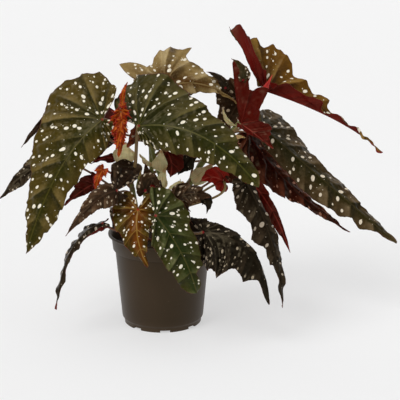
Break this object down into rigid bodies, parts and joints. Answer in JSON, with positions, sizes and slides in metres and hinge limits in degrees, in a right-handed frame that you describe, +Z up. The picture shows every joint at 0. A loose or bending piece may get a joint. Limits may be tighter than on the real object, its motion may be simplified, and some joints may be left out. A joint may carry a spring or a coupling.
{
  "type": "potted begonia",
  "caption": "Potted cane begonia with lop-sided pointed leaves, pale spots above and red below, in a round nursery pot.",
  "frame": {"origin": "middle of the pot's underside, on the surface the pot stands on", "axes": "+Z up along the pot's axis, +X to the plant's right as seen from its front, -Y towards the viewer's side"},
  "size_m": [0.4382, 0.2775, 0.3271],
  "materials": {
    "pot_plastic": "satin dark brown moulded plastic with faint scuffs",
    "soil": "moist peat and fine bark crumbs",
    "cane": "smooth olive stem with darker joints",
    "leaf_dark_green": "dark green leaf with silvery white spots, red underside, soft gloss",
    "leaf_olive": "olive leaf with silvery white spots, red underside, soft gloss",
    "leaf_bronze": "bronze young leaf with pale spots, red underside, soft gloss",
    "leaf_maroon": "maroon brown leaf with pale spots, soft gloss",
    "leaf_red": "deep red leaf underside, soft gloss",
    "leaf_young_orange": "orange red unfolding leaf with fine red hairs",
    "bract_cream": "papery cream stipule",
    "bract_green": "papery olive stipule",
    "bud_red": "smooth red bud"
  },
  "bodies": {
    "root": {"pot": "pot_plastic", "soil": "soil", "cane_right": "cane", "cane_centre": "cane", "cane_left": "cane", "cane_front": "cane", "cane_back": "cane", "leaf_left_large": "leaf_olive", "leaf_centre_large": "leaf_dark_green", "leaf_top_bronze": "leaf_bronze", "leaf_top_right": "leaf_bronze", "leaf_red_underside": "leaf_red", "leaf_right_shaded": "leaf_maroon", "leaf_right_maroon": "leaf_maroon", "leaf_right_large": "leaf_olive", "leaf_right_drooping": "leaf_dark_green", "leaf_right_red": "leaf_red", "leaf_low_right": "leaf_dark_green", "leaf_front_green": "leaf_dark_green", "leaf_front_bronze": "leaf_bronze", "leaf_left_middle": "leaf_maroon", "leaf_low_left": "leaf_dark_green", "leaf_far_left": "leaf_maroon", "leaf_left_sliver": "leaf_red", "leaf_left_red": "leaf_red", "leaf_young_upper": "leaf_young_orange", "leaf_young_lower": "leaf_young_orange", "leaf_inner_red": "leaf_red", "leaf_inner_dark": "leaf_maroon", "leaf_front_small": "leaf_maroon", "leaf_inner_spotted": "leaf_maroon", "leaf_inner_bright_red": "leaf_red", "leaf_rim_left": "leaf_maroon", "leaf_left_brown": "leaf_maroon", "leaf_left_red_small": "leaf_red", "leaf_inner_copper": "leaf_bronze", "leaf_back_left": "leaf_olive", "leaf_back_middle": "leaf_dark_green", "leaf_back_right": "leaf_dark_green", "leaf_back_top": "leaf_olive", "leaf_back_low": "leaf_dark_green", "bract_left_large": "bract_cream", "bract_centre_large": "bract_cream", "bract_centre_left": "bract_cream", "bract_middle": "bract_cream", "bract_middle_right": "bract_cream", "bract_left_green": "bract_green", "bract_right": "bract_cream", "bract_upper_curled": "bract_cream", "bract_upper_ring": "bract_cream", "bract_top": "bract_cream", "bud_top": "bud_red"}
  },
  "joints": []
}
